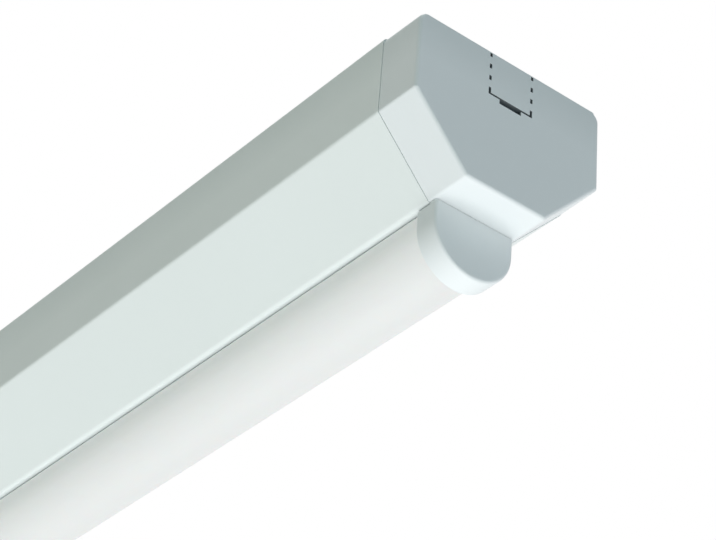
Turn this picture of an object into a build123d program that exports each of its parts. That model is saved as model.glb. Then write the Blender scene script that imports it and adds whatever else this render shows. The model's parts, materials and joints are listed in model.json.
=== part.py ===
from build123d import *
from math import atan2, tan
import os

# Linear LED ceiling light, in millimetres.
# The origin is the middle of the ceiling plane: +X runs along the light, +Y across it, +Z up.

# Tray of folded sheet steel
light_length = 600.0
body_width = 64.0
body_height = 45.0
side_height = 25.3
flat_width = 27.2
sheet = 0.7
bend_radius = 1.6
lip_width = 8.0

# Moulded end caps
cap_length = 14.9
cap_wall = 2.2
cap_inset = 0.15
cap_taper = 0.2
cap_edge_radius = 1.1
cap_corner_radius = 1.2
cap_top_radius = 3.2
cap_top_rise = 0.5
seam_gap = 0.1
tongue_length = 10.0
tongue_wall = 1.5
tongue_fit = 0.25
tongue_span = 12.0

# Knock-out in the end wall of each cap
knockout_width = 15.2
knockout_height = 14.2
knockout_web = 0.3
knockout_slot = 0.8
knockout_slot_length = 1.5
knockout_slot_count = 4
knockout_pitch = 3.95
knockout_foot_slot = 0.6
pry_width = 7.5
pry_height = 1.35

# Opal diffuser and its end pieces
diffuser_radius = 11.95
diffuser_wall = 1.2
diffuser_foot = 1.8
diffuser_axis_drop = 3.7
lamp_gap = 0.65
end_piece_setback = 12.2
end_piece_length = 7.3
end_piece_wall = 1.05
end_piece_face_wall = 2.5
end_piece_axis_drop = 5.55
end_piece_edge_radius = 0.9
end_piece_fit = 0.2
end_piece_top_gap = 0.1
anchor_length = 11.0
anchor_width = 10.0
anchor_height = 6.0

# Aluminium rail and LED boards
rail_flange = 2.0
rail_foot_gap = 0.3
rail_side_gap = 0.6
rail_end_gap = 1.0
rail_screw_setback = 15.0
rail_screw_pitch = 60.0
grommet_screw_setback = 45.0
output_screw_offset = 30.0
input_screw_offset = 45.0
board_width = 15.0
board_thickness = 1.2
board_end_margin = 22.0
board_gap = 4.0
board_screw_edge = 2.3
board_screw_first = 39.0
board_screw_end = 32.0
led_pitch = 10.0
led_length = 3.5
led_width = 2.8
led_height = 0.7
led_recess = 0.35
led_rim = 0.4
led_first = 14.0
link_length = 16.0
link_width = 7.0
link_height = 3.0
link_corner = 0.75
input_length = 10.0
input_width = 7.0
input_height = 4.0
input_corner = 0.8
input_hole_depth = 6.0

# LED driver, seated on the floor of the tray
driver_x = -60.0
driver_length = 146.0
driver_width = 20.0
driver_floor = 1.5
driver_wall = 1.2
driver_base_height = 6.0
driver_cover_gap = 4.2
driver_cover_edge = 0.9
driver_height = 20.0
driver_edge_radius = 1.0
driver_ear_length = 10.0
driver_ear_thickness = 2.0
circuit_thickness = 1.6
circuit_fit = 0.3
post_height = 2.5
post_radius = 2.0
driver_terminal_length = 15.0
driver_terminal_width = 15.0
driver_terminal_height = 9.0
driver_terminal_edge = 0.5
driver_pole_pitch = 6.0
driver_hole_height = 4.5
driver_hole_depth = 8.0

# Components on the driver's circuit board, under its cover
component_gap = 2.8
choke_margin = 7.6
choke_radius = 5.0
choke_wire = 2.2
capacitor_radius = 4.0
capacitor_height = 11.0
capacitor_edge = 1.0
filter_margin = 14.8
fuse_radius = 2.4
fuse_length = 8.0
fuse_edge = 0.6
transformer_length = 18.0
transformer_depth = 10.0
transformer_height = 11.0
transformer_leg = 4.0
winding_fit = 0.2
winding_bulge = 2.5
winding_corner = 1.25

# Mains terminal, seated near the end cap in the photograph
terminal_setback = 40.0
terminal_length = 22.0
terminal_width = 19.0
terminal_height = 14.0
terminal_end_wall = 2.5
terminal_top_wall = 4.0
terminal_edge = 0.8
terminal_base_thickness = 2.0
terminal_base_corner = 2.0
terminal_ear_length = 12.0
pole_pitch = 6.0
pole_width = 4.6
pole_hole_height = 4.0
button_length = 4.6
button_width = 3.2
button_offset = 3.0
button_clearance = 0.2
button_flange = 1.2
button_flange_reach = 0.7
button_proud = 1.8
button_edge = 0.4
contact_thickness = 0.8
contact_width = 4.0
contact_stop_height = 5.5
contact_fit = 0.05
spring_thickness = 0.3
spring_width = 3.6
spring_height = 6.2
spring_drop = 1.0
spring_bend = 0.6

# Wires and what holds them
mains_wire = 2.2
led_wire = 1.6
wire_hole_fit = 0.2
wire_lift = 0.15
wire_gap = 0.2
mains_run_y = 4.5
mains_bend = 12.0
led_run_y = -4.6
led_bend = 12.0
terminal_insert = 5.0
terminal_lead_out = 16.0
terminal_ramp = 16.0
driver_insert = 6.0
driver_lead_out = 12.0
driver_ramp = 18.0
clip_leg = 1.0
clip_foot = 2.8
clip_length = 8.0
clip_fit = 0.2
grommet_neck_radius = 4.3
grommet_bore_radius = 3.3
grommet_flange = 1.2
grommet_flange_reach = 1.1
grommet_fit = 0.1
grommet_setback = 12.0
grommet_lead_in = 12.0
grommet_ramp = 14.0
grommet_lift = 5.5
grommet_ramp_bend = 8.0
grommet_bend = 4.0
led_wire_spread = 1.3
input_insert = 4.0
input_bend = 3.0

# Earth point
earth_setback = 44.0
earth_y = -4.5
lug_thickness = 0.8
lug_radius = 4.2
lug_barrel_length = 6.0
lug_barrel_wall = 0.55
lug_neck = 0.8
lug_wire_stop = 1.0
washer_thickness = 0.8
washer_radius = 3.8
washer_teeth = 12
washer_tooth_depth = 1.5
washer_tooth_width = 0.6
earth_lead_out = 12.0
earth_bend = 10.0

# Screws: the rounding and the recess are shares of the head's height and radius
head_round_share = 0.4
recess_depth_share = 0.55
recess_length_share = 1.1
recess_width_share = 0.25
small_shank = 1.25
small_head = 2.2
small_head_height = 1.5
screw_shank = 1.5
screw_head = 2.8
screw_head_height = 2.0
earth_shank = 2.0
earth_head = 3.6
earth_head_height = 2.6
thread_fit = 0.05
hole_fit = 0.1
rail_grip = 2.8
small_grip = 2.4
anchor_grip = 4.5

# Spring-steel ceiling clips
ceiling_clip_setback = 110.0
ceiling_clip_width = 24.0
ceiling_clip_sheet = 0.8
ceiling_clip_gap = 2.0
ceiling_clip_lip_gap = 0.3
ceiling_clip_drop = 11.0
ceiling_clip_lean = 1.5
ceiling_clip_reach = 3.5
ceiling_clip_bend = 0.8
ceiling_slot_length = 10.0
ceiling_slot_width = 4.5

# Levels and places worked out from the sizes above
half_length = light_length / 2
half_width = body_width / 2
flat_half = flat_width / 2
slope_width = half_width - flat_half
slope_drop = body_height - side_height
bottom_z = -body_height
floor_z = bottom_z + sheet
side_bend_share = tan(atan2(slope_width, slope_drop) / 2)
floor_bend_share = tan(atan2(slope_drop, slope_width) / 2)
housing_half = half_length - cap_length
seam_x = housing_half + seam_gap
lip_edge = half_width - lip_width

diffuser_axis_z = bottom_z - diffuser_axis_drop
end_piece_axis_z = bottom_z - end_piece_axis_drop
diffuser_top = bottom_z - lamp_gap
diffuser_inner = diffuser_radius - diffuser_wall
diffuser_foot_edge = diffuser_inner - diffuser_foot
socket_radius = diffuser_radius + end_piece_fit
end_piece_radius = socket_radius + end_piece_wall
end_piece_face_x = half_length - end_piece_setback
end_piece_rim_x = end_piece_face_x - end_piece_length
end_wall_x = end_piece_face_x - end_piece_face_wall
end_piece_top = bottom_z + cap_inset - end_piece_top_gap
diffuser_half = end_wall_x - end_piece_fit
anchor_x = end_wall_x - anchor_length

rail_half = anchor_x - rail_end_gap
rail_flange_half = diffuser_inner - rail_side_gap
rail_neck_half = diffuser_foot_edge - rail_side_gap
rail_neck_z = diffuser_top - diffuser_wall - rail_foot_gap
rail_z = rail_neck_z - rail_flange
board_z = rail_z - board_thickness
board_end = rail_half - board_end_margin
grommet_x = grommet_setback - rail_half
input_x = -board_end + input_length / 2
input_hole_z = board_z - input_height / 2

driver_half = driver_length / 2
circuit_z = floor_z + driver_floor + post_height
circuit_top = circuit_z + circuit_thickness
driver_rim_z = floor_z + driver_base_height
driver_top = floor_z + driver_height
circuit_half = driver_half - driver_wall - circuit_fit
driver_face = circuit_half - circuit_fit
driver_hole_z = circuit_top + driver_hole_height
driver_screw_reach = driver_half + driver_ear_length / 2
driver_cover_length = 2 * (driver_face - driver_terminal_length - driver_cover_gap)
driver_in_x = driver_x + driver_face
driver_out_x = driver_x - driver_face

cover_inner = driver_cover_length / 2 - driver_wall
choke_reach = choke_radius + choke_wire
choke_x = driver_x + cover_inner - choke_margin - choke_reach
supply_capacitor_x = choke_x - choke_reach - component_gap - capacitor_radius
fuse_x = supply_capacitor_x - capacitor_radius - component_gap - fuse_radius
transformer_x = fuse_x - fuse_radius - component_gap - transformer_length / 2
filter_capacitor_x = driver_x - cover_inner + filter_margin + capacitor_radius
window_length = (transformer_length - 3 * transformer_leg) / 2
window_height = transformer_height - transformer_leg

terminal_face_x = housing_half - terminal_setback
terminal_inner_x = terminal_face_x - terminal_length
terminal_mid_x = (terminal_face_x + terminal_inner_x) / 2
terminal_ear_x = terminal_inner_x - terminal_ear_length
terminal_screw_x = terminal_ear_x + terminal_ear_length / 2
terminal_z = floor_z + terminal_base_thickness
pole_hole_z = terminal_z + pole_hole_height
cavity_height = terminal_height - terminal_top_wall
cavity_length = terminal_length - 2 * terminal_end_wall
poles = {"live": pole_pitch, "neutral": 0.0, "earth": -pole_pitch}
earth_x = terminal_inner_x - earth_setback

rail_screw_x = [
    -rail_half + grommet_screw_setback,
    driver_x - driver_screw_reach - output_screw_offset,
    driver_x + driver_screw_reach + input_screw_offset,
    driver_x + driver_screw_reach + input_screw_offset + rail_screw_pitch,
    rail_half - rail_screw_setback,
]
rail_screw_points = [(x, 0.0) for x in rail_screw_x]
driver_screw_points = [(driver_x + side * driver_screw_reach, 0.0) for side in (-1, 1)]
anchor_screw_x = anchor_x + anchor_length / 2
anchor_screw_points = [(-anchor_screw_x, 0.0), (anchor_screw_x, 0.0)]
board_screw_last = board_end - board_screw_end
board_screw_x = (board_screw_first, (board_screw_first + board_screw_last) / 2, board_screw_last)
board_screw_y = board_width / 2 - board_screw_edge
board_screw_points = [(side * x, board_screw_y) for side in (-1, 1) for x in board_screw_x]
led_clip_x = (rail_screw_x[0] + rail_screw_x[1]) / 2
mains_clip_x = [(rail_screw_x[2] + rail_screw_x[3]) / 2, (rail_screw_x[3] + earth_x) / 2]
ceiling_clip_x = half_length - ceiling_clip_setback


def tray_section(inset, top):
    """Corner points (Y, Z) of the body's section, drawn this far inside its outer faces, up to a level."""
    side = half_width - inset
    slope_top = inset * side_bend_share - side_height
    floor_edge = flat_half - inset * floor_bend_share
    floor = inset - body_height
    left = [(-side, top), (-side, slope_top), (-floor_edge, floor)]
    return left + [(-y, z) for y, z in reversed(left)]


def rounded_face(points, radii):
    """Flat face through the points, with each corner rounded by its own radius."""
    with BuildSketch() as face:
        with BuildLine():
            Polyline(*points, close=True)
        make_face()
        for radius in sorted(set(radii) - {0}):
            chosen = [Vector(*point) for point, size in zip(points, radii) if size == radius]
            corners = face.vertices().filter_by(lambda corner: Vector(corner) in chosen)
            fillet(corners, radius)
    return face.sketch


def lamp_face(radius, axis_z, top):
    """U-shaped face around an axis along the light, up to a level."""
    with BuildSketch() as face:
        with BuildLine():
            Polyline((-radius, axis_z), (-radius, top), (radius, top), (radius, axis_z))
            ThreePointArc((radius, axis_z), (0, axis_z - radius), (-radius, axis_z))
        make_face()
    return face.sketch


def pan_screw(shank, head, head_height, length):
    """Pan head screw with a cross recess, its seat at Z = 0 and its shank below."""
    recess_depth = head_height * recess_depth_share
    recess_length = head * recess_length_share
    recess_width = head * recess_width_share
    with BuildPart() as screw:
        Cylinder(shank, length, align=(Align.CENTER, Align.CENTER, Align.MAX))
        Cylinder(head, head_height, align=(Align.CENTER, Align.CENTER, Align.MIN))
        fillet(screw.edges().group_by(Axis.Z)[-1], head_height * head_round_share)
        with Locations((0, 0, head_height)):
            Box(recess_length, recess_width, recess_depth * 2, mode=Mode.SUBTRACT)
            Box(recess_width, recess_length, recess_depth * 2, mode=Mode.SUBTRACT)
    return screw.part


def lead(points, radii, diameter):
    """Round insulated wire along straight runs joined by tangent arcs."""
    with BuildPart() as wire:
        with BuildLine() as route:
            FilletPolyline(*points, radius=radii)
        with BuildSketch(Plane(origin=route.line @ 0, z_dir=route.line % 0)):
            Circle(diameter / 2)
        sweep()
    return wire


def moulded_bridge(x, first_y, last_y, height):
    """Cable saddle on the floor of the tray, over the wires, with a foot on its inner side."""
    inward = 1 if first_y < 0 else -1
    low, high = sorted((first_y, last_y))
    foot_edge = (high + clip_leg) if inward > 0 else (low - clip_leg)
    with BuildPart() as bridge:
        with BuildSketch(Plane.YZ.offset(x - clip_length / 2)):
            with Locations(((low + high) / 2, floor_z)):
                Rectangle(high - low + 2 * clip_leg, height + clip_leg, align=(Align.CENTER, Align.MIN))
                Rectangle(high - low, height, align=(Align.CENTER, Align.MIN), mode=Mode.SUBTRACT)
            with Locations((foot_edge + inward * clip_foot / 2, floor_z)):
                Rectangle(clip_foot, clip_leg, align=(Align.CENTER, Align.MIN))
        extrude(amount=clip_length)
    return bridge.part


floor_grip = sheet + rail_grip
earth_grip = washer_thickness + lug_thickness + floor_grip
m3_rail = pan_screw(screw_shank, screw_head, screw_head_height, floor_grip)
m3_driver = pan_screw(screw_shank, screw_head, screw_head_height, driver_ear_thickness + floor_grip)
m3_terminal = pan_screw(screw_shank, screw_head, screw_head_height, terminal_base_thickness + floor_grip)
m3_anchor = pan_screw(screw_shank, screw_head, screw_head_height, sheet + anchor_grip)
m4_earth = pan_screw(earth_shank, earth_head, earth_head_height, earth_grip)
small_screw = pan_screw(small_shank, small_head, small_head_height, board_thickness + small_grip)

# Housing: C-shaped tray with inturned lips along the ceiling
with BuildPart() as housing:
    outside = tray_section(0.0, 0.0)
    inside = tray_section(sheet, -sheet)
    right_lip = [(lip_edge, 0.0), (lip_edge, -sheet)]
    profile = [(-lip_edge, 0.0), *outside, *right_lip, *reversed(inside), (-lip_edge, -sheet)]
    outer_bends = [bend_radius] * len(outside)
    inner_bends = [bend_radius - sheet] * len(inside)
    with BuildSketch(Plane.YZ.offset(-housing_half)):
        add(rounded_face(profile, [0, *outer_bends, 0, 0, *inner_bends, 0]))
    extrude(amount=2 * housing_half)
    with BuildSketch(Plane.XY.offset(bottom_z)):
        with Locations(*rail_screw_points, *driver_screw_points, *anchor_screw_points, (terminal_screw_x, 0)):
            Circle(screw_shank + hole_fit)
        with Locations((earth_x, earth_y)):
            Circle(earth_shank + hole_fit)
        with Locations((grommet_x, 0)):
            Circle(grommet_neck_radius + grommet_fit)
    extrude(amount=sheet, mode=Mode.SUBTRACT)

# End cap: tapered shell, open to the ceiling, with two tongues that push into the tray
with BuildPart() as end_cap_right:
    cap_radii = [cap_top_radius, cap_corner_radius, cap_corner_radius]
    for x, inset in ((seam_x, cap_inset), (half_length, cap_inset + cap_taper)):
        with BuildSketch(Plane.YZ.offset(x)):
            add(rounded_face(tray_section(inset, cap_top_rise), cap_radii + cap_radii[::-1]))
    loft(ruled=True)
    split(bisect_by=Plane.XY, keep=Keep.BOTTOM)
    end_edges = end_cap_right.faces().sort_by(Axis.X)[-1].edges()
    fillet(end_edges.filter_by(lambda edge: edge.center().Z < -cap_edge_radius / 2), cap_edge_radius)
    with BuildSketch(Plane.YZ.offset(seam_x)):
        add(rounded_face(tray_section(cap_inset + cap_wall, cap_top_rise), [0, *[cap_corner_radius] * 4, 0]))
    extrude(amount=half_length - cap_wall - seam_x, mode=Mode.SUBTRACT)
    tongue_inset = sheet + tongue_fit
    tongue_top = -bend_radius - tongue_fit
    with BuildSketch(Plane.YZ.offset(seam_x - tongue_length)):
        add(rounded_face(tray_section(tongue_inset, tongue_top), [0, *[bend_radius] * 4, 0]))
        add(
            rounded_face(tray_section(tongue_inset + tongue_wall, tongue_top), [0, *[bend_radius] * 4, 0]),
            mode=Mode.SUBTRACT,
        )
        Rectangle(2 * (half_width - tongue_span), 2 * body_height, mode=Mode.SUBTRACT)
    extrude(amount=tongue_length + cap_wall)
    with BuildSketch(Plane.YZ.offset(half_length - cap_wall)):
        slot_y = (knockout_width - knockout_slot) / 2
        slot_levels = [-step * knockout_pitch for step in range(knockout_slot_count)]
        slot_tops = [-knockout_web, *slot_levels[1:]]
        slot_feet = [level - knockout_slot_length for level in slot_levels[:-1]] + [-knockout_height]
        for top, foot in zip(slot_tops, slot_feet):
            with Locations((-slot_y, top), (slot_y, top)):
                Rectangle(knockout_slot, top - foot, align=(Align.CENTER, Align.MAX))
        with Locations((0, -knockout_height)):
            Rectangle(knockout_width, knockout_foot_slot, align=(Align.CENTER, Align.MIN))
            Rectangle(pry_width, pry_height, align=(Align.CENTER, Align.MAX))
    extrude(amount=cap_wall, mode=Mode.SUBTRACT)

with BuildPart() as end_cap_left:
    mirror(end_cap_right.part, about=Plane.YZ)

# Diffuser: U-section with inturned feet that hook over the rail
with BuildPart() as diffuser:
    with BuildSketch(Plane.YZ.offset(-diffuser_half)):
        add(lamp_face(diffuser_radius, diffuser_axis_z, diffuser_top))
        add(lamp_face(diffuser_inner, diffuser_axis_z, diffuser_top - diffuser_wall), mode=Mode.SUBTRACT)
        with Locations((0, diffuser_top)):
            Rectangle(2 * diffuser_foot_edge, 2 * diffuser_wall, mode=Mode.SUBTRACT)
    extrude(amount=2 * diffuser_half)

# Diffuser end piece: cup over the diffuser's end, with an anchor block screwed to the tray from inside
with BuildPart() as diffuser_end_right:
    with BuildSketch(Plane.YZ.offset(end_piece_rim_x)):
        add(lamp_face(end_piece_radius, end_piece_axis_z, end_piece_top))
    extrude(amount=end_piece_length)
    face_edges = diffuser_end_right.faces().sort_by(Axis.X)[-1].edges()
    fillet(face_edges.sort_by(Axis.Z)[:-1], end_piece_edge_radius)
    with BuildSketch(Plane.YZ.offset(end_piece_rim_x)):
        add(lamp_face(socket_radius, diffuser_axis_z, end_piece_top))
        with Locations((0, diffuser_top)):
            Rectangle(2 * end_piece_radius, end_piece_top - diffuser_top, align=(Align.CENTER, Align.MIN))
    extrude(amount=end_wall_x - end_piece_rim_x, mode=Mode.SUBTRACT)
    with BuildSketch(Plane.XY.offset(bottom_z)):
        with Locations((anchor_x, 0)):
            Rectangle(anchor_length, anchor_width, align=(Align.MIN, Align.CENTER))
    extrude(amount=-anchor_height)
    with BuildSketch(Plane.XY.offset(bottom_z)):
        with Locations((anchor_screw_x, 0)):
            Circle(screw_shank + thread_fit)
    extrude(amount=-anchor_grip - thread_fit, mode=Mode.SUBTRACT)

with BuildPart() as diffuser_end_left:
    mirror(diffuser_end_right.part, about=Plane.YZ)

with BuildPart() as diffuser_end_screws:
    with Locations(*[(x, y, floor_z) for x, y in anchor_screw_points]):
        add(m3_anchor)

# Rail: T-section against the flat bottom, which carries the LED boards
with BuildPart() as led_rail:
    with BuildSketch(Plane.YZ.offset(-rail_half)):
        with BuildLine():
            neck = [(rail_neck_half, bottom_z), (rail_neck_half, rail_neck_z)]
            flange = [(rail_flange_half, rail_neck_z), (rail_flange_half, rail_z)]
            right_side = neck + flange
            Polyline(*right_side, *[(-y, z) for y, z in reversed(right_side)], close=True)
        make_face()
    extrude(amount=2 * rail_half)
    with BuildSketch(Plane.XY.offset(bottom_z)):
        with Locations(*rail_screw_points, *driver_screw_points, (terminal_screw_x, 0)):
            Circle(screw_shank + thread_fit)
        with Locations((earth_x, earth_y)):
            Circle(earth_shank + thread_fit)
    extrude(amount=-rail_grip - thread_fit, mode=Mode.SUBTRACT)
    with BuildSketch(Plane.XY.offset(rail_z)):
        with Locations(*board_screw_points):
            Circle(small_shank + thread_fit)
    extrude(amount=small_grip + thread_fit, mode=Mode.SUBTRACT)
    with BuildSketch(Plane.XY.offset(rail_z)):
        with Locations((grommet_x, 0)):
            Circle(grommet_neck_radius + grommet_flange_reach + grommet_fit)
    extrude(amount=bottom_z - rail_z, mode=Mode.SUBTRACT)

with BuildPart() as rail_screws:
    with Locations(*[(x, y, floor_z) for x, y in rail_screw_points]):
        add(m3_rail)

# LED boards, their packages and connectors
board_length = board_end - board_gap / 2
with BuildPart() as led_board_right:
    with BuildSketch(Plane.XY.offset(board_z)):
        with Locations((board_gap / 2, 0)):
            Rectangle(board_length, board_width, align=(Align.MIN, Align.CENTER))
        with Locations(*[point for point in board_screw_points if point[0] > 0]):
            Circle(small_shank + hole_fit, mode=Mode.SUBTRACT)
    extrude(amount=board_thickness)

with BuildPart() as led_board_left:
    mirror(led_board_right.part, about=Plane.YZ)

with BuildPart() as led_board_screws:
    with Locations(*[Location((x, y, board_z), (180, 0, 0)) for x, y in board_screw_points]):
        add(small_screw)

led_count = int((board_end - input_length - led_length - led_first) // led_pitch) + 1
led_points = [(side * (led_first + i * led_pitch), 0, board_z) for side in (-1, 1) for i in range(led_count)]
with BuildPart() as led_packages:
    with Locations(*led_points):
        Box(led_length, led_width, led_height, align=(Align.CENTER, Align.CENTER, Align.MAX))
    with Locations(*[(x, y, z - led_height) for x, y, z in led_points]):
        Box(led_length - 2 * led_rim, led_width - 2 * led_rim, 2 * led_recess, mode=Mode.SUBTRACT)

with BuildPart() as led_phosphors:
    with Locations(*[(x, y, z - led_height) for x, y, z in led_points]):
        Box(
            led_length - 2 * led_rim,
            led_width - 2 * led_rim,
            led_recess,
            align=(Align.CENTER, Align.CENTER, Align.MIN),
        )

with BuildPart() as led_board_link:
    with Locations((0, 0, board_z)):
        Box(link_length, link_width, link_height, align=(Align.CENTER, Align.CENTER, Align.MAX))
    fillet(led_board_link.edges().filter_by(Axis.Z), link_corner)

with BuildPart() as led_input_connector:
    with Locations((input_x, 0, board_z)):
        Box(input_length, input_width, input_height, align=(Align.CENTER, Align.CENTER, Align.MAX))
    fillet(led_input_connector.edges().filter_by(Axis.Z), input_corner)
    with BuildSketch(Plane.YZ.offset(input_x - input_length / 2)):
        with Locations((-led_wire_spread, input_hole_z), (led_wire_spread, input_hole_z)):
            Circle(led_wire / 2 + wire_hole_fit)
    extrude(amount=input_hole_depth, mode=Mode.SUBTRACT)

# Driver: base tray with ears, circuit board on posts, cover between the two terminals
with BuildPart() as driver_base:
    with BuildSketch(Plane.XY.offset(floor_z)):
        with Locations((driver_x, 0)):
            RectangleRounded(driver_length, driver_width, driver_edge_radius)
    extrude(amount=driver_base_height)
    with BuildSketch(Plane.XY.offset(floor_z + driver_floor)):
        with Locations((driver_x, 0)):
            Rectangle(driver_length - 2 * driver_wall, driver_width - 2 * driver_wall)
    extrude(amount=driver_base_height, mode=Mode.SUBTRACT)
    post_x = circuit_half - 2 * post_radius
    post_y = driver_width / 2 - driver_wall - 2 * post_radius
    with BuildSketch(Plane.XY.offset(floor_z + driver_floor)):
        with Locations((driver_x, 0)):
            with GridLocations(2 * post_x, 2 * post_y, 2, 2):
                Circle(post_radius)
    extrude(amount=post_height)
    with BuildSketch(Plane.XY.offset(floor_z)):
        with Locations((driver_x, 0)):
            Rectangle(driver_length + 2 * driver_ear_length, driver_width - 2 * driver_edge_radius)
            Rectangle(driver_length - 2 * driver_wall, driver_width, mode=Mode.SUBTRACT)
        with Locations(*driver_screw_points):
            Circle(screw_shank + hole_fit, mode=Mode.SUBTRACT)
    extrude(amount=driver_ear_thickness)

with BuildPart() as driver_cover:
    with BuildSketch(Plane.XY.offset(driver_rim_z)):
        with Locations((driver_x, 0)):
            RectangleRounded(driver_cover_length, driver_width, driver_edge_radius)
    extrude(amount=driver_top - driver_rim_z)
    fillet(driver_cover.edges().group_by(Axis.Z)[-1], driver_cover_edge)
    with BuildSketch(Plane.XY.offset(driver_rim_z)):
        with Locations((driver_x, 0)):
            Rectangle(driver_cover_length - 2 * driver_wall, driver_width - 2 * driver_wall)
    extrude(amount=driver_top - driver_rim_z - driver_wall, mode=Mode.SUBTRACT)

with BuildPart() as driver_circuit_board:
    with BuildSketch(Plane.XY.offset(circuit_z)):
        with Locations((driver_x, 0)):
            Rectangle(2 * circuit_half, driver_width - 2 * driver_wall - 2 * circuit_fit)
    extrude(amount=circuit_thickness)

with BuildPart() as driver_transformer_core:
    with BuildSketch(Plane.XZ.offset(-transformer_depth / 2)):
        with Locations((transformer_x, circuit_top + transformer_height / 2)):
            Rectangle(transformer_length, transformer_height)
            with GridLocations(window_length + transformer_leg, 0, 2, 1):
                Rectangle(window_length, window_height, mode=Mode.SUBTRACT)
    extrude(amount=transformer_depth)

with BuildPart() as driver_transformer_winding:
    with BuildSketch(Plane.XY.offset(circuit_top + (transformer_height - window_height) / 2 + winding_fit)):
        with Locations((transformer_x, 0)):
            leg_and_window = transformer_leg + 2 * (window_length - winding_fit)
            RectangleRounded(leg_and_window, transformer_depth + 2 * winding_bulge, winding_corner)
            Rectangle(
                transformer_leg + 2 * winding_fit, transformer_depth + 2 * winding_fit, mode=Mode.SUBTRACT
            )
    extrude(amount=window_height - 2 * winding_fit)

with BuildPart() as driver_capacitors:
    with Locations((supply_capacitor_x, 0, circuit_top), (filter_capacitor_x, 0, circuit_top)):
        Cylinder(capacitor_radius, capacitor_height, align=(Align.CENTER, Align.CENTER, Align.MIN))
    fillet(driver_capacitors.edges().group_by(Axis.Z)[-1], capacitor_edge)

with BuildPart() as driver_choke:
    with Locations((choke_x, 0, circuit_top + choke_wire + wire_lift)):
        Torus(choke_radius, choke_wire)

with BuildPart() as driver_fuse:
    with Locations((fuse_x, 0, circuit_top)):
        Cylinder(fuse_radius, fuse_length, align=(Align.CENTER, Align.CENTER, Align.MIN))
    fillet(driver_fuse.edges().group_by(Axis.Z)[-1], fuse_edge)


def driver_terminal(direction, wire_diameter):
    """Push-in terminal on one end of the driver's circuit board, with two wire holes facing outwards."""
    face_x = driver_x + direction * driver_face
    middle_x = face_x - direction * driver_terminal_length / 2
    with BuildPart() as terminal:
        with Locations((middle_x, 0, circuit_top)):
            Box(
                driver_terminal_length,
                driver_terminal_width,
                driver_terminal_height,
                align=(Align.CENTER, Align.CENTER, Align.MIN),
            )
        fillet(terminal.edges().group_by(Axis.Z)[-1], driver_terminal_edge)
        with BuildSketch(Plane.YZ.offset(face_x)):
            with Locations((-driver_pole_pitch / 2, driver_hole_z), (driver_pole_pitch / 2, driver_hole_z)):
                Circle(wire_diameter / 2 + wire_hole_fit)
        extrude(amount=-direction * driver_hole_depth, mode=Mode.SUBTRACT)
    return terminal


driver_input_terminal = driver_terminal(1, mains_wire)
driver_output_terminal = driver_terminal(-1, led_wire)

with BuildPart() as driver_screws:
    with Locations(*[(x, y, floor_z + driver_ear_thickness) for x, y in driver_screw_points]):
        add(m3_driver)

# Mains terminal: base plate, body with a chamber for each pole, contacts, springs and release buttons
with BuildPart() as terminal_base:
    with BuildSketch(Plane.XY.offset(floor_z)):
        with Locations((terminal_ear_x, 0)):
            Rectangle(terminal_length + terminal_ear_length, terminal_width, align=(Align.MIN, Align.CENTER))
        with Locations((terminal_screw_x, 0)):
            Circle(screw_shank + hole_fit, mode=Mode.SUBTRACT)
    extrude(amount=terminal_base_thickness)
    fillet(terminal_base.edges().filter_by(Axis.Z).group_by(Axis.X)[0], terminal_base_corner)

button_x = terminal_mid_x + button_offset
with BuildPart() as terminal_body:
    with BuildSketch(Plane.XY.offset(terminal_z)):
        with Locations((terminal_mid_x, 0)):
            Rectangle(terminal_length, terminal_width)
    extrude(amount=terminal_height)
    fillet(terminal_body.edges().group_by(Axis.Z)[-1], terminal_edge)
    with BuildSketch(Plane.XY.offset(terminal_z)):
        with Locations(*[(terminal_mid_x, y) for y in poles.values()]):
            Rectangle(cavity_length, pole_width)
    extrude(amount=cavity_height, mode=Mode.SUBTRACT)
    with BuildSketch(Plane.XY.offset(terminal_z)):
        with Locations(*[(button_x, y) for y in poles.values()]):
            Rectangle(button_length + 2 * button_clearance, button_width + 2 * button_clearance)
    extrude(amount=terminal_height, mode=Mode.SUBTRACT)
    with BuildSketch(Plane.YZ.offset(terminal_inner_x)):
        with Locations(*[(y, pole_hole_z) for y in poles.values()]):
            Circle(mains_wire / 2 + wire_hole_fit)
    extrude(amount=terminal_length, mode=Mode.SUBTRACT)

with BuildPart() as terminal_contacts:
    with Locations(*[(terminal_mid_x, y, terminal_z) for y in poles.values()]):
        Box(
            cavity_length - 2 * button_clearance,
            contact_width,
            contact_thickness,
            align=(Align.CENTER, Align.CENTER, Align.MIN),
        )
        Box(
            contact_thickness,
            contact_width,
            contact_stop_height,
            align=(Align.CENTER, Align.CENTER, Align.MIN),
        )

spring_back_x = terminal_mid_x + contact_thickness
spring_front_x = terminal_face_x - terminal_end_wall - 2 * button_clearance
with BuildPart() as terminal_springs:
    for y in poles.values():
        with BuildSketch(Plane.XZ.offset(-y - spring_width / 2)):
            with BuildLine():
                FilletPolyline(
                    (spring_front_x, terminal_z + contact_thickness + contact_fit),
                    (spring_back_x, terminal_z + contact_thickness + contact_fit),
                    (spring_back_x, terminal_z + spring_height),
                    (spring_front_x, terminal_z + spring_height - spring_drop),
                    radius=spring_bend,
                )
                offset(amount=spring_thickness, side=Side.RIGHT)
            make_face()
        extrude(amount=spring_width)


def release_button(y):
    """Release button of one pole: stem through the top of the body and a flange that keeps it in."""
    ceiling = terminal_z + cavity_height
    with BuildPart() as button:
        with BuildSketch(Plane.XY.offset(ceiling - button_clearance - button_flange)):
            with Locations((button_x, y)):
                Rectangle(button_length + 2 * button_flange_reach, button_width + button_flange_reach)
        extrude(amount=button_flange)
        with BuildSketch(Plane.XY.offset(ceiling - button_clearance)):
            with Locations((button_x, y)):
                Rectangle(button_length, button_width)
        extrude(amount=button_clearance + terminal_top_wall + button_proud)
        fillet(button.edges().group_by(Axis.Z)[-1], button_edge)
    return button


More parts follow.
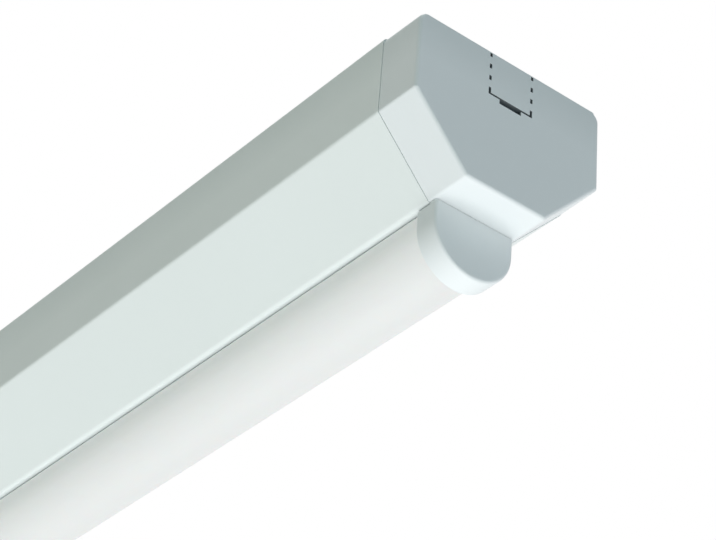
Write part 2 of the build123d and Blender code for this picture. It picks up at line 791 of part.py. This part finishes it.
terminal_buttons = {f"terminal_button_{pole}": release_button(y) for pole, y in poles.items()}

with BuildPart() as terminal_screw:
    with Locations((terminal_screw_x, 0, terminal_z)):
        add(m3_terminal)

# Earth point: lug, toothed washer and screw through the floor into the rail
barrel_radius = mains_wire / 2 + lug_barrel_wall
barrel_z = floor_z + barrel_radius + wire_lift
barrel_start = earth_x + lug_radius + lug_neck
with BuildPart() as earth_lug:
    with BuildSketch(Plane.XY.offset(floor_z)):
        with Locations((earth_x, earth_y)):
            Circle(lug_radius)
            Rectangle(
                barrel_start - earth_x + lug_barrel_length / 2,
                2 * barrel_radius,
                align=(Align.MIN, Align.CENTER),
            )
            Circle(earth_shank + hole_fit, mode=Mode.SUBTRACT)
    extrude(amount=lug_thickness)
    with BuildSketch(Plane.YZ.offset(barrel_start)):
        with Locations((earth_y, barrel_z)):
            Circle(barrel_radius)
    extrude(amount=lug_barrel_length)
    with BuildSketch(Plane.YZ.offset(barrel_start)):
        with Locations((earth_y, barrel_z)):
            Circle(mains_wire / 2 + thread_fit)
    extrude(amount=lug_barrel_length, mode=Mode.SUBTRACT)

with BuildPart() as earth_washer:
    with BuildSketch(Plane.XY.offset(floor_z + lug_thickness)):
        with Locations((earth_x, earth_y)):
            Circle(washer_radius)
            Circle(earth_shank + hole_fit, mode=Mode.SUBTRACT)
            with PolarLocations(washer_radius, washer_teeth):
                Rectangle(washer_tooth_depth, washer_tooth_width, mode=Mode.SUBTRACT)
    extrude(amount=washer_thickness)

with BuildPart() as earth_screw:
    with Locations((earth_x, earth_y, floor_z + lug_thickness + washer_thickness)):
        add(m4_earth)

# Grommet: rubber ring in the floor of the tray, its lower flange inside the rail's hole
with BuildPart() as floor_grommet:
    with BuildSketch(Plane.XZ.move(Location((grommet_x, 0, 0)))):
        with BuildLine():
            flange_radius = grommet_neck_radius + grommet_flange_reach
            Polyline(
                (grommet_bore_radius, bottom_z - grommet_flange),
                (flange_radius, bottom_z - grommet_flange),
                (flange_radius, bottom_z),
                (grommet_neck_radius, bottom_z),
                (grommet_neck_radius, floor_z),
                (flange_radius, floor_z),
                (flange_radius, floor_z + grommet_flange),
                (grommet_bore_radius, floor_z + grommet_flange),
                close=True,
            )
        make_face()
    revolve(axis=Axis((grommet_x, 0, 0), (0, 0, 1)))

# Wires, held by their terminals, the saddles and the grommet
mains_floor_z = floor_z + mains_wire / 2 + wire_lift
led_floor_z = floor_z + led_wire / 2 + wire_lift
mains_outer_y = mains_run_y + mains_wire + wire_gap
led_outer_y = led_run_y - led_wire - wire_gap


def mains_lead(pole_y, run_y, driver_y):
    """Wire from a pole of the mains terminal, along the floor, to the driver's input terminal."""
    points = [
        (terminal_inner_x + terminal_insert, pole_y, pole_hole_z),
        (terminal_inner_x - terminal_lead_out, pole_y, pole_hole_z),
        (terminal_inner_x - terminal_lead_out - terminal_ramp, run_y, mains_floor_z),
        (driver_in_x + driver_lead_out + driver_ramp, run_y, mains_floor_z),
        (driver_in_x + driver_lead_out, driver_y, driver_hole_z),
        (driver_in_x - driver_insert, driver_y, driver_hole_z),
    ]
    return lead(points, mains_bend, mains_wire)


def led_lead(driver_y, run_y, exit_y):
    """Wire from the driver's output, along the floor and down through the grommet, to the LED boards."""
    arch_z = floor_z + grommet_lift
    points = [
        (driver_out_x + driver_insert, driver_y, driver_hole_z),
        (driver_out_x - driver_lead_out, driver_y, driver_hole_z),
        (driver_out_x - driver_lead_out - driver_ramp, run_y, led_floor_z),
        (grommet_x + grommet_lead_in + grommet_ramp, run_y, led_floor_z),
        (grommet_x + grommet_lead_in, exit_y, arch_z),
        (grommet_x, exit_y, arch_z),
        (grommet_x, exit_y, input_hole_z),
        (input_x - input_length / 2 + input_insert, exit_y, input_hole_z),
    ]
    return lead(points, [led_bend, led_bend, led_bend, grommet_ramp_bend, grommet_bend, input_bend], led_wire)


wire_live = mains_lead(poles["live"], mains_outer_y, driver_pole_pitch / 2)
wire_neutral = mains_lead(poles["neutral"], mains_run_y, -driver_pole_pitch / 2)
wire_led_positive = led_lead(driver_pole_pitch / 2, led_run_y, led_wire_spread)
wire_led_negative = led_lead(-driver_pole_pitch / 2, led_outer_y, -led_wire_spread)
wire_earth = lead(
    [
        (terminal_inner_x + terminal_insert, poles["earth"], pole_hole_z),
        (terminal_inner_x - earth_lead_out, poles["earth"], pole_hole_z),
        (barrel_start + earth_lead_out, earth_y, barrel_z),
        (barrel_start + lug_wire_stop, earth_y, barrel_z),
    ],
    earth_bend,
    mains_wire,
)

with BuildPart() as wire_clips:
    mains_low = mains_run_y - mains_wire / 2 - clip_fit
    mains_high = mains_outer_y + mains_wire / 2 + clip_fit
    led_low = led_outer_y - led_wire / 2 - clip_fit
    led_high = led_run_y + led_wire / 2 + clip_fit
    mains_bridge_height = mains_wire + wire_lift + clip_fit
    led_bridge_height = led_wire + wire_lift + clip_fit
    for x in mains_clip_x:
        add(moulded_bridge(x, mains_low, mains_high, mains_bridge_height))
    add(moulded_bridge(led_clip_x, led_high, led_low, led_bridge_height))


def ceiling_clip(x):
    """Bent spring-steel clip: a plate at the ceiling and two sprung legs that hook under the lips."""
    plate_edge = lip_edge - ceiling_clip_gap
    tip = (lip_edge + ceiling_clip_reach, -sheet - ceiling_clip_lip_gap)
    right_side = [(plate_edge, 0.0), (plate_edge - ceiling_clip_lean, -ceiling_clip_drop), tip]
    with BuildPart() as clip:
        with BuildSketch(Plane.YZ.offset(x - ceiling_clip_width / 2)):
            with BuildLine():
                left_side = [(-y, z) for y, z in reversed(right_side)]
                FilletPolyline(*left_side, *right_side, radius=ceiling_clip_bend)
                offset(amount=ceiling_clip_sheet, side=Side.RIGHT)
            make_face()
        extrude(amount=ceiling_clip_width)
        with BuildSketch(Plane.XY.offset(-ceiling_clip_sheet)):
            with Locations((x, 0)):
                SlotOverall(ceiling_slot_length, ceiling_slot_width)
        extrude(amount=ceiling_clip_sheet, mode=Mode.SUBTRACT)
    return clip


mounting_clip_right = ceiling_clip(ceiling_clip_x)
mounting_clip_left = ceiling_clip(-ceiling_clip_x)

pieces = {
    "housing": housing,
    "end_cap_right": end_cap_right,
    "end_cap_left": end_cap_left,
    "diffuser": diffuser,
    "diffuser_end_right": diffuser_end_right,
    "diffuser_end_left": diffuser_end_left,
    "diffuser_end_screws": diffuser_end_screws,
    "led_rail": led_rail,
    "rail_screws": rail_screws,
    "led_board_right": led_board_right,
    "led_board_left": led_board_left,
    "led_board_screws": led_board_screws,
    "led_packages": led_packages,
    "led_phosphors": led_phosphors,
    "led_board_link": led_board_link,
    "led_input_connector": led_input_connector,
    "driver_base": driver_base,
    "driver_cover": driver_cover,
    "driver_circuit_board": driver_circuit_board,
    "driver_transformer_core": driver_transformer_core,
    "driver_transformer_winding": driver_transformer_winding,
    "driver_capacitors": driver_capacitors,
    "driver_choke": driver_choke,
    "driver_fuse": driver_fuse,
    "driver_input_terminal": driver_input_terminal,
    "driver_output_terminal": driver_output_terminal,
    "driver_screws": driver_screws,
    "terminal_base": terminal_base,
    "terminal_body": terminal_body,
    "terminal_contacts": terminal_contacts,
    "terminal_springs": terminal_springs,
    **terminal_buttons,
    "terminal_screw": terminal_screw,
    "earth_lug": earth_lug,
    "earth_washer": earth_washer,
    "earth_screw": earth_screw,
    "floor_grommet": floor_grommet,
    "wire_live": wire_live,
    "wire_neutral": wire_neutral,
    "wire_earth": wire_earth,
    "wire_led_positive": wire_led_positive,
    "wire_led_negative": wire_led_negative,
    "wire_clips": wire_clips,
    "mounting_clip_right": mounting_clip_right,
    "mounting_clip_left": mounting_clip_left,
}

os.makedirs("parts", exist_ok=True)
for name, piece in pieces.items():
    piece.part.label = name
    export_step(piece.part, f"parts/{name}.step")
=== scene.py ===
import json
from math import cos, pi, radians, sin

import bpy
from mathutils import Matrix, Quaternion, Vector


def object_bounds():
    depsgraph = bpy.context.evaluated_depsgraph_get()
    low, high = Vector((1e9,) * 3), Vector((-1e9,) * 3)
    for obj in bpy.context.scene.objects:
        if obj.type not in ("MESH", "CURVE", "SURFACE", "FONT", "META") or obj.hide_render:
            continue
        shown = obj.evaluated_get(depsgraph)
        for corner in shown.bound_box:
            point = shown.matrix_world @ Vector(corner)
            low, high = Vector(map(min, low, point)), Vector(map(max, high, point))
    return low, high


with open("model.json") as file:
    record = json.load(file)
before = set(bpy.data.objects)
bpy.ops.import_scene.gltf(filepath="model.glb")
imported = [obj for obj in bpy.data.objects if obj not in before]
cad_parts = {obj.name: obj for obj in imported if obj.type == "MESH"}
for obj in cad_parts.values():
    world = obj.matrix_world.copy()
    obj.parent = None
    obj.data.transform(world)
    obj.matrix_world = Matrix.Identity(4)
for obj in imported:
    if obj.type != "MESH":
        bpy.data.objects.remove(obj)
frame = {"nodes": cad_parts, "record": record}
cad_low, cad_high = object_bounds()
nodes = frame["nodes"]
record = frame["record"]

# Camera of the photograph, in metres and radians, from the middle of the near cap's top edge
PHOTO_WIDTH_PIXELS = 716
FOCAL_PIXELS = 2600.5
SENSOR_WIDTH_MM = 36.0
CAMERA_FROM_CAP = Vector((0.4056, -0.3406, -0.4500))
VIEW_HEADING = radians(143.913)
VIEW_RISE = radians(35.640)
VIEW_ROLL = radians(4.7245)
CLIP_START = 0.01

# Floor far below the lamp, a soft panel just above it that shines up, and a soft sun overhead
FLOOR_DROP = 3.6
FLOOR_SIZE = 64.0
FLOOR_COLOUR = (0.94, 0.955, 0.95)
PANEL_DROP = 3.4
PANEL_SIZE = 1.6
PANEL_WATTS = 53.0
SUN_STRENGTH = 1.7
SUN_ANGLE = radians(10)

# Soft light all round: a tint along the lamp times a tint across it
AMBIENT_FAR_END = (0.726, 0.632, 0.6)
AMBIENT_NEAR_END = (0.526, 0.882, 1.0)
AMBIENT_BACK = (0.986, 0.917, 1.0)
AMBIENT_FRONT = (0.663, 0.917, 0.615)
AMBIENT_STRENGTH = 0.405

# A white that changes nothing, and one micron in metres
WHITE = (1.0, 1.0, 1.0)
MICRON = 0.000001

# Features of the finishes, counted per metre
CLOUD = 14
ORANGE_PEEL = 700
SPARK_GRAIN = 2600
EXTRUDER_LINES = 900
DIE_LINES = 2200
METAL_GRAIN = 1500
ZINC_GRAIN = 900
STRIP_GRAIN = 1800
SPANGLE = 800
FERRITE_PITS = 2200
SLEEVE_GRAIN = 900
PHOSPHOR_GRAIN = 9000
NYLON_GRAIN = 1400
RUBBER_GRAIN = 1800
INSULATION_GRAIN = 1200
TRACK_ROWS = 1680
WINDING_TURNS = 2500

# Rows of the brick texture and bands of the wave texture per metre, at a scale of one
BRICK_ROWS = 4
WAVE_BANDS = 3.2

# Squeeze of a grain into lines along the lamp, and none
EXTRUDED = (0.004, 1.0, 1.0)
DRAWN = (0.006, 1.0, 1.0)
EVEN = (1.0, 1.0, 1.0)

# Painted shade in the slots round the knock-out of each cap, in metres from the end face, the middle and the
# ceiling
CAP_WALL = 0.0022
KNOCKOUT_HALF = 0.0077
KNOCKOUT_FOOT = 0.0158
KNOCKOUT_TOP = 0.0002
SLOT_MOUTH_SHADE = 0.7
SLOT_WALL_FACING = 0.5

# Painted shade on the white surfaces near the ceiling edge, in metres from the ceiling
CEILING_SHADE_DEPTH = 0.014
CEILING_SHADE_COLOUR = (0.88, 0.895, 0.895)

# Copper tracks under the white mask of the LED boards, in metres from the middle
LED_TRACK = 0.0048
LED_TRACK_HALF = 0.0007

# How much paler the green mask is over the copper of the driver's board
TRACK_LIFT = 0.12

# Sockets of a mix node that hold colours
MIX_FIRST = 6
MIX_SECOND = 7
MIX_RESULT = 2


def rgba(colour):
    """Colour with full cover."""
    return (*colour, 1.0)


def shaded(colour, share):
    """Colour with each of its parts times a share."""
    return [part * share for part in colour]


def put(material, value, socket):
    """Sets a socket to a value, or links it."""
    if isinstance(value, bpy.types.NodeSocket):
        material.node_tree.links.new(value, socket)
    else:
        socket.default_value = value


def node(material, kind, **inputs):
    """New node of a kind, with its inputs set or linked."""
    made = material.node_tree.nodes.new("ShaderNode" + kind)
    for name, value in inputs.items():
        put(material, value, made.inputs[name.replace("_", " ")])
    return made


def calc(material, operation, *values):
    """Result of one sum or test."""
    made = node(material, "Math")
    made.operation = operation
    for socket, value in zip(made.inputs, values):
        put(material, value, socket)
    return made.outputs["Value"]


def finish(slot, colour, roughness, **sockets):
    """New material named after its slot, with what is the same all over set on its shader."""
    material = bpy.data.materials.new(slot)
    material.use_nodes = True
    shader = material.node_tree.nodes["Principled BSDF"]
    shader.inputs["Base Color"].default_value = rgba(colour)
    shader.inputs["Roughness"].default_value = roughness
    for name, value in sockets.items():
        shader.inputs[name.replace("_", " ")].default_value = value
    return material


def link(material, value, socket):
    """Links a value to a socket of the material's shader."""
    shader = material.node_tree.nodes["Principled BSDF"]
    material.node_tree.links.new(value, shader.inputs[socket])


def place(material, stretch=EVEN):
    """The part's own coordinates, in metres, squeezed along each axis."""
    coordinates = node(material, "TexCoord")
    return node(material, "Mapping", Vector=coordinates.outputs["Object"], Scale=stretch).outputs["Vector"]


def axes(material, kind):
    """The three parts of the position or of the normal, each without its sign."""
    coordinates = node(material, "TexCoord")
    parts = node(material, "SeparateXYZ", Vector=coordinates.outputs[kind]).outputs
    return [calc(material, "ABSOLUTE", part) for part in parts]


def noise(material, scale, detail=2.0, stretch=EVEN):
    """Noise with so many features per metre."""
    texture = node(material, "TexNoise", Vector=place(material, stretch), Scale=scale, Detail=detail)
    return texture.outputs["Fac"]


def spread(material, factor, low, high, start=0.3, end=0.7):
    """A number that follows a factor from its start to its end."""
    inputs = {"Value": factor, "From_Min": start, "From_Max": end, "To_Min": low, "To_Max": high}
    return node(material, "MapRange", **inputs).outputs["Result"]


def blend(material, factor, first, second, start=0.35, end=0.65):
    """Colour that goes from the first to the second as a factor rises."""
    ramp = node(material, "ValToRGB", Fac=factor)
    for element, position, colour in zip(ramp.color_ramp.elements, (start, end), (first, second)):
        element.position = position
        element.color = rgba(colour)
    return ramp.outputs["Color"]


def multiply(material, first, second):
    """Product of two colours."""
    mix = node(material, "Mix", Factor=1.0)
    mix.data_type = "RGBA"
    mix.blend_type = "MULTIPLY"
    put(material, first, mix.inputs[MIX_FIRST])
    put(material, second, mix.inputs[MIX_SECOND])
    return mix.outputs[MIX_RESULT]


def cloud(material, colour, amount, scale=CLOUD):
    """Slight change of shade over the surface, as in paint or plastic."""
    return blend(material, noise(material, scale, detail=3.0), shaded(colour, 1 - amount), colour)


def dusty(material, colour):
    """Colour with painted shade, darkest at the ceiling edge and fading away from it."""
    down = axes(material, "Object")[2]
    share = spread(material, down, low=0.0, high=1.0, start=0.0, end=CEILING_SHADE_DEPTH)
    painted_shade = blend(material, share, CEILING_SHADE_COLOUR, WHITE, start=0.0, end=1.0)
    return multiply(material, colour, painted_shade)


def roughen(material, factor, low, high):
    """Roughness that follows a factor."""
    link(material, spread(material, factor, low, high), "Roughness")


def raise_surface(material, *heights):
    """Bumps, each a pair of a factor and a height in microns, one on top of the other."""
    normal = None
    for factor, microns in heights:
        bump = node(material, "Bump", Height=factor, Distance=microns * MICRON, Strength=1.0)
        if normal is not None:
            put(material, normal, bump.inputs["Normal"])
        normal = bump.outputs["Normal"]
    link(material, normal, "Normal")


def painted_steel(slot):
    """White powder coat: satin, with a slight orange peel."""
    colour = (0.776, 0.838, 0.83)
    material = finish(slot, colour, roughness=0.45, Specular_IOR_Level=0.25)
    # Painted shade: the coat is darker within 14 mm of the ceiling edge
    link(material, dusty(material, cloud(material, colour, amount=0.015)), "Base Color")
    roughen(material, noise(material, 3 * CLOUD), low=0.41, high=0.49)
    raise_surface(material, (noise(material, ORANGE_PEEL, detail=1.0), 20))
    return material


def slot_depth(material):
    """Painted shade in the knock-out's slots: nought outside them; in them a share that rises to one from the
    end face inwards.
    """
    along, across, down = axes(material, "Object")
    facing = axes(material, "Normal")[0]
    wall_back = cad_high.x - CAP_WALL
    depth = spread(material, along, low=1.0, high=SLOT_MOUTH_SHADE, start=wall_back, end=cad_high.x)
    tests = [
        calc(material, "GREATER_THAN", along, wall_back),
        calc(material, "LESS_THAN", across, KNOCKOUT_HALF),
        calc(material, "LESS_THAN", down, KNOCKOUT_FOOT),
        calc(material, "GREATER_THAN", down, KNOCKOUT_TOP),
        calc(material, "LESS_THAN", facing, SLOT_WALL_FACING),
    ]
    for test in tests:
        depth = calc(material, "MULTIPLY", depth, test)
    return depth


def white_moulding(slot):
    """White polycarbonate with a fine spark-eroded grain, with painted shade in the narrow slots of the
    knock-out.
    """
    colour = (0.786, 0.838, 0.85)
    slot_shade_colour = (0.045, 0.068, 0.085)
    material = finish(slot, colour, roughness=0.5, Specular_IOR_Level=0.25)
    # Painted shade: near-black on the walls inside the knock-out's slots
    slot_shading = blend(material, slot_depth(material), WHITE, slot_shade_colour, start=0.0, end=0.92)
    # Painted shade: the moulding is darker within 14 mm of the ceiling edge
    white = dusty(material, cloud(material, colour, amount=0.012))
    link(material, multiply(material, white, slot_shading), "Base Color")
    roughen(material, noise(material, 4 * CLOUD), low=0.46, high=0.54)
    raise_surface(material, (noise(material, SPARK_GRAIN), 15))
    return material


def opal_diffuser(slot):
    """Opal polycarbonate: milky, with painted light that makes it whiter up by the feet and painted shade
    that makes it greyer towards the bottom, in place of light passing through the opal.
    """
    upper_painted_light = (0.975, 0.99, 0.988)
    lower_painted_shade = (0.705, 0.722, 0.715)
    body = {"IOR": 1.585, "Specular_IOR_Level": 0.9, "Subsurface_Weight": 0.1, "Subsurface_Scale": 0.002}
    material = finish(slot, upper_painted_light, roughness=0.42, **body)
    depths = [-z for x, y, z in nodes["diffuser"].bound_box]
    down = axes(material, "Object")[2]
    share = spread(material, down, low=0.0, high=1.0, start=min(depths), end=max(depths))
    lines = noise(material, EXTRUDER_LINES, stretch=EXTRUDED)
    # Painted light and shade: whiter at the top by the feet, greyer towards the bottom
    link(material, blend(material, share, upper_painted_light, lower_painted_shade, start=0.36, end=1.0), "Base Color")
    roughen(material, lines, low=0.38, high=0.46)
    raise_surface(material, (lines, 8))
    return material


def plastic(slot, colour, roughness=0.45, grain=SPARK_GRAIN, **sockets):
    """Moulded plastic with a fine grain."""
    swing = 0.06
    material = finish(slot, colour, roughness, **sockets)
    link(material, cloud(material, colour, amount=0.05, scale=4 * CLOUD), "Base Color")
    roughen(material, noise(material, 8 * CLOUD), low=roughness - swing, high=roughness + swing)
    raise_surface(material, (noise(material, grain), 20))
    return material


def metal(slot, colour, roughness=0.3, stretch=EVEN, lines=METAL_GRAIN, tint=(0.86, 0.86, 0.86)):
    """Bare or plated metal with fine lines or a fine grain."""
    swing = 0.08
    material = finish(slot, colour, roughness, Metallic=1.0)
    grain = noise(material, lines, detail=3.0, stretch=stretch)
    tinted = [part * share for part, share in zip(colour, tint)]
    link(material, blend(material, grain, tinted, colour), "Base Color")
    roughen(material, grain, low=roughness - swing, high=roughness + swing)
    raise_surface(material, (grain, 6))
    return material


def aluminium_rail(slot, colour):
    """Mill-finish extrusion: fine die lines along its length."""
    return metal(slot, colour, roughness=0.36, stretch=DRAWN, lines=DIE_LINES)


def zinc_screw(slot, colour):
    """Bright zinc with the faint blue and yellow of its passivation."""
    return metal(slot, colour, roughness=0.26, lines=ZINC_GRAIN, tint=(1.04, 0.98, 0.86))


def clip_steel(slot, colour):
    """Galvanised strip: flat crystals of zinc, each with its own shade."""
    dull = shaded(colour, share=0.7)
    bright = shaded(colour, share=0.86)
    material = finish(slot, colour, roughness=0.38, Metallic=1.0)
    cells = node(material, "TexVoronoi", Vector=place(material), Scale=SPANGLE).outputs["Color"]
    link(material, blend(material, cells, dull, bright, start=0.2, end=0.8), "Base Color")
    roughen(material, cells, low=0.3, high=0.46)
    raise_surface(material, (noise(material, STRIP_GRAIN, detail=3.0), 6))
    return material


def led_board(slot, colour):
    """White solder mask over aluminium, with two copper tracks that stand up a little under it."""
    over_copper = shaded(colour, share=0.94)
    material = finish(slot, colour, roughness=0.4)
    across = axes(material, "Object")[1]
    track = calc(material, "COMPARE", across, LED_TRACK, LED_TRACK_HALF)
    link(material, blend(material, track, colour, over_copper, start=0.0, end=1.0), "Base Color")
    roughen(material, noise(material, 10 * CLOUD), low=0.34, high=0.46)
    raise_surface(material, (track, 30), (noise(material, ORANGE_PEEL), 10))
    return material


def circuit_board(slot, colour):
    """Green solder mask, paler where the copper tracks run under it."""
    over_copper = [part + TRACK_LIFT for part in colour]
    material = finish(slot, colour, roughness=0.35)
    rows = {"Scale": TRACK_ROWS / BRICK_ROWS, "Mortar_Size": 0.06}
    track = node(material, "TexBrick", Vector=place(material), **rows).outputs["Fac"]
    link(material, blend(material, track, colour, over_copper, start=0.0, end=1.0), "Base Color")
    roughen(material, noise(material, 10 * CLOUD), low=0.3, high=0.42)
    raise_surface(material, (track, 30))
    return material


def ferrite(slot, colour):
    """Sintered ferrite: dark, dull and finely pitted."""
    material = finish(slot, colour, roughness=0.6)
    pits = noise(material, FERRITE_PITS, detail=4.0)
    link(material, blend(material, pits, shaded(colour, share=0.6), shaded(colour, share=1.3)), "Base Color")
    roughen(material, pits, low=0.5, high=0.72)
    raise_surface(material, (pits, 40))
    return material


def copper_winding(slot, colour):
    """Turns of enamelled copper wire, one on the other, with painted shade in the grooves between the turns.
    """
    groove_painted_shade = shaded(colour, share=0.45)
    material = finish(slot, colour, roughness=0.3, Metallic=1.0)
    wave = node(material, "TexWave", Vector=place(material), Scale=WINDING_TURNS / WAVE_BANDS)
    wave.bands_direction = "Z"
    turns = wave.outputs["Fac"]
    # Painted shade: darker in the grooves between the turns
    link(material, blend(material, turns, groove_painted_shade, colour, start=0.0, end=0.6), "Base Color")
    roughen(material, noise(material, 20 * CLOUD), low=0.24, high=0.36)
    raise_surface(material, (turns, 120))
    return material


def capacitor_can(slot, colour):
    """Dark shrunk sleeve, slightly glossy."""
    return plastic(slot, colour, roughness=0.32, grain=SLEEVE_GRAIN)


def led_phosphor(slot, colour):
    """Yellow resin with phosphor grains in it."""
    body = {"Subsurface_Weight": 0.4, "Subsurface_Scale": 0.0008}
    material = finish(slot, colour, roughness=0.3, **body)
    grains = noise(material, PHOSPHOR_GRAIN)
    link(material, blend(material, grains, shaded(colour, share=0.85), colour), "Base Color")
    roughen(material, grains, low=0.24, high=0.38)
    raise_surface(material, (grains, 10))
    return material


def nylon(slot, colour):
    """Natural polyamide, a little translucent."""
    body = {"Subsurface_Weight": 0.5, "Subsurface_Scale": 0.001}
    return plastic(slot, colour, roughness=0.42, grain=NYLON_GRAIN, **body)


def rubber(slot, colour):
    """Black rubber with a dull bloom."""
    material = finish(slot, colour, roughness=0.75)
    bloom = noise(material, 30 * CLOUD, detail=4.0)
    link(material, blend(material, bloom, colour, shaded(colour, share=1.8)), "Base Color")
    roughen(material, bloom, low=0.65, high=0.85)
    raise_surface(material, (noise(material, RUBBER_GRAIN), 20))
    return material


def insulation(slot, colour):
    """Wire insulation with a slight gloss."""
    material = finish(slot, colour, roughness=0.35)
    link(material, cloud(material, colour, amount=0.08, scale=10 * CLOUD), "Base Color")
    roughen(material, noise(material, 20 * CLOUD), low=0.3, high=0.42)
    raise_surface(material, (noise(material, INSULATION_GRAIN), 10))
    return material


def striped_insulation(slot, colour):
    """Earth wire: green insulation with a yellow stripe along each side."""
    green = (0.05, 0.3, 0.07)
    yellow = (0.85, 0.7, 0.05)
    material = insulation(slot, colour)
    upward = axes(material, "Normal")[2]
    link(material, blend(material, upward, yellow, green, start=0.62, end=0.68), "Base Color")
    return material


makers = {
    "aluminium_rail": aluminium_rail,
    "led_board": led_board,
    "led_phosphor": led_phosphor,
    "zinc_screw": zinc_screw,
    "circuit_board": circuit_board,
    "ferrite": ferrite,
    "copper_winding": copper_winding,
    "capacitor_can": capacitor_can,
    "contact_metal": metal,
    "spring_steel": metal,
    "clip_steel": clip_steel,
    "rubber": rubber,
    "nylon": nylon,
    "wire_green_yellow": striped_insulation,
}


def make_materials():
    """One material for each slot of the record."""
    made = {maker.__name__: maker(maker.__name__) for maker in (painted_steel, white_moulding, opal_diffuser)}
    for entry in record["materials"]:
        slot = entry["slot"]
        if slot not in made:
            usual = insulation if slot.startswith("wire") else plastic
            made[slot] = makers.get(slot, usual)(slot, entry["base_color"])
    return made


def dress_nodes():
    """Gives each node of the part the material of its slot."""
    materials = make_materials()
    for subpart in record["subparts"]:
        mesh = nodes[subpart["node"]].data
        mesh.materials.clear()
        mesh.materials.append(materials[subpart["material_slot"]])


def set_world():
    """White where it is seen or mirrored; elsewhere soft light, cool from one end, greenish in front."""
    world = bpy.data.worlds.new("studio")
    bpy.context.scene.world = world
    world.use_nodes = True
    world.node_tree.nodes.clear()
    path = node(world, "LightPath").outputs
    seen = calc(world, "MAXIMUM", path["Is Camera Ray"], path["Is Glossy Ray"])
    seen = calc(world, "MAXIMUM", seen, path["Is Transmission Ray"])
    direction = node(world, "TexCoord").outputs["Generated"]
    along, across, _ = node(world, "SeparateXYZ", Vector=direction).outputs
    forward = calc(world, "MULTIPLY", across, -1.0)
    lengthwise = blend(world, along, AMBIENT_FAR_END, AMBIENT_NEAR_END, start=0.0, end=1.0)
    crosswise = blend(world, forward, AMBIENT_BACK, AMBIENT_FRONT, start=0.0, end=1.0)
    tint = multiply(world, lengthwise, crosswise)
    ambient = node(world, "Background", Color=tint, Strength=AMBIENT_STRENGTH)
    white = node(world, "Background", Color=rgba(WHITE), Strength=1.0)
    mix = node(world, "MixShader", Fac=seen)
    _, unseen_side, seen_side = mix.inputs
    put(world, ambient.outputs["Background"], unseen_side)
    put(world, white.outputs["Background"], seen_side)
    node(world, "OutputWorld", Surface=mix.outputs["Shader"])


def add(name, data):
    """New object in the scene."""
    made = bpy.data.objects.new(name, data)
    bpy.context.scene.collection.objects.link(made)
    return made


def add_floor():
    """Pale floor of the room, far below the lamp."""
    half = FLOOR_SIZE / 2
    level = cad_high.z - FLOOR_DROP
    corners = [(-half, -half, level), (half, -half, level), (half, half, level), (-half, half, level)]
    mesh = bpy.data.meshes.new("floor")
    mesh.from_pydata(corners, [], [(0, 1, 2, 3)])
    mesh.materials.append(finish("floor", FLOOR_COLOUR, roughness=1.0, Specular_IOR_Level=0.0))
    floor = add("floor", mesh)


def add_panel():
    """Soft panel that shines up from just above the floor, and that the camera doesn't see."""
    light = bpy.data.lights.new("panel", "AREA")
    light.size = PANEL_SIZE
    light.energy = PANEL_WATTS
    panel = add("panel", light)
    panel.location.z = cad_high.z - PANEL_DROP
    panel.rotation_euler.x = pi
    panel.visible_camera = False


def add_sun():
    """Soft sun straight above, without its glare on bare metal."""
    light = bpy.data.lights.new("sun", "SUN")
    light.energy = SUN_STRENGTH
    light.angle = SUN_ANGLE
    sun = add("sun", light)
    sun.visible_glossy = False


def add_camera():
    """Camera at the place and with the lens that the photograph's straight edges give."""
    data = bpy.data.cameras.new("camera")
    data.sensor_width = SENSOR_WIDTH_MM
    data.lens = SENSOR_WIDTH_MM * FOCAL_PIXELS / PHOTO_WIDTH_PIXELS
    data.clip_start = CLIP_START
    camera = add("camera", data)
    camera.location = Vector((cad_high.x, 0.0, cad_high.z)) + CAMERA_FROM_CAP
    flat = cos(VIEW_RISE)
    direction = Vector((flat * cos(VIEW_HEADING), flat * sin(VIEW_HEADING), sin(VIEW_RISE)))
    level = direction.to_track_quat("-Z", "Y")
    camera.rotation_mode = "QUATERNION"
    camera.rotation_quaternion = Quaternion(direction, -VIEW_ROLL) @ level
    bpy.context.scene.camera = camera


dress_nodes()
set_world()
add_floor()
add_panel()
add_sun()
add_camera()
bpy.context.scene.view_settings.view_transform = "Standard"
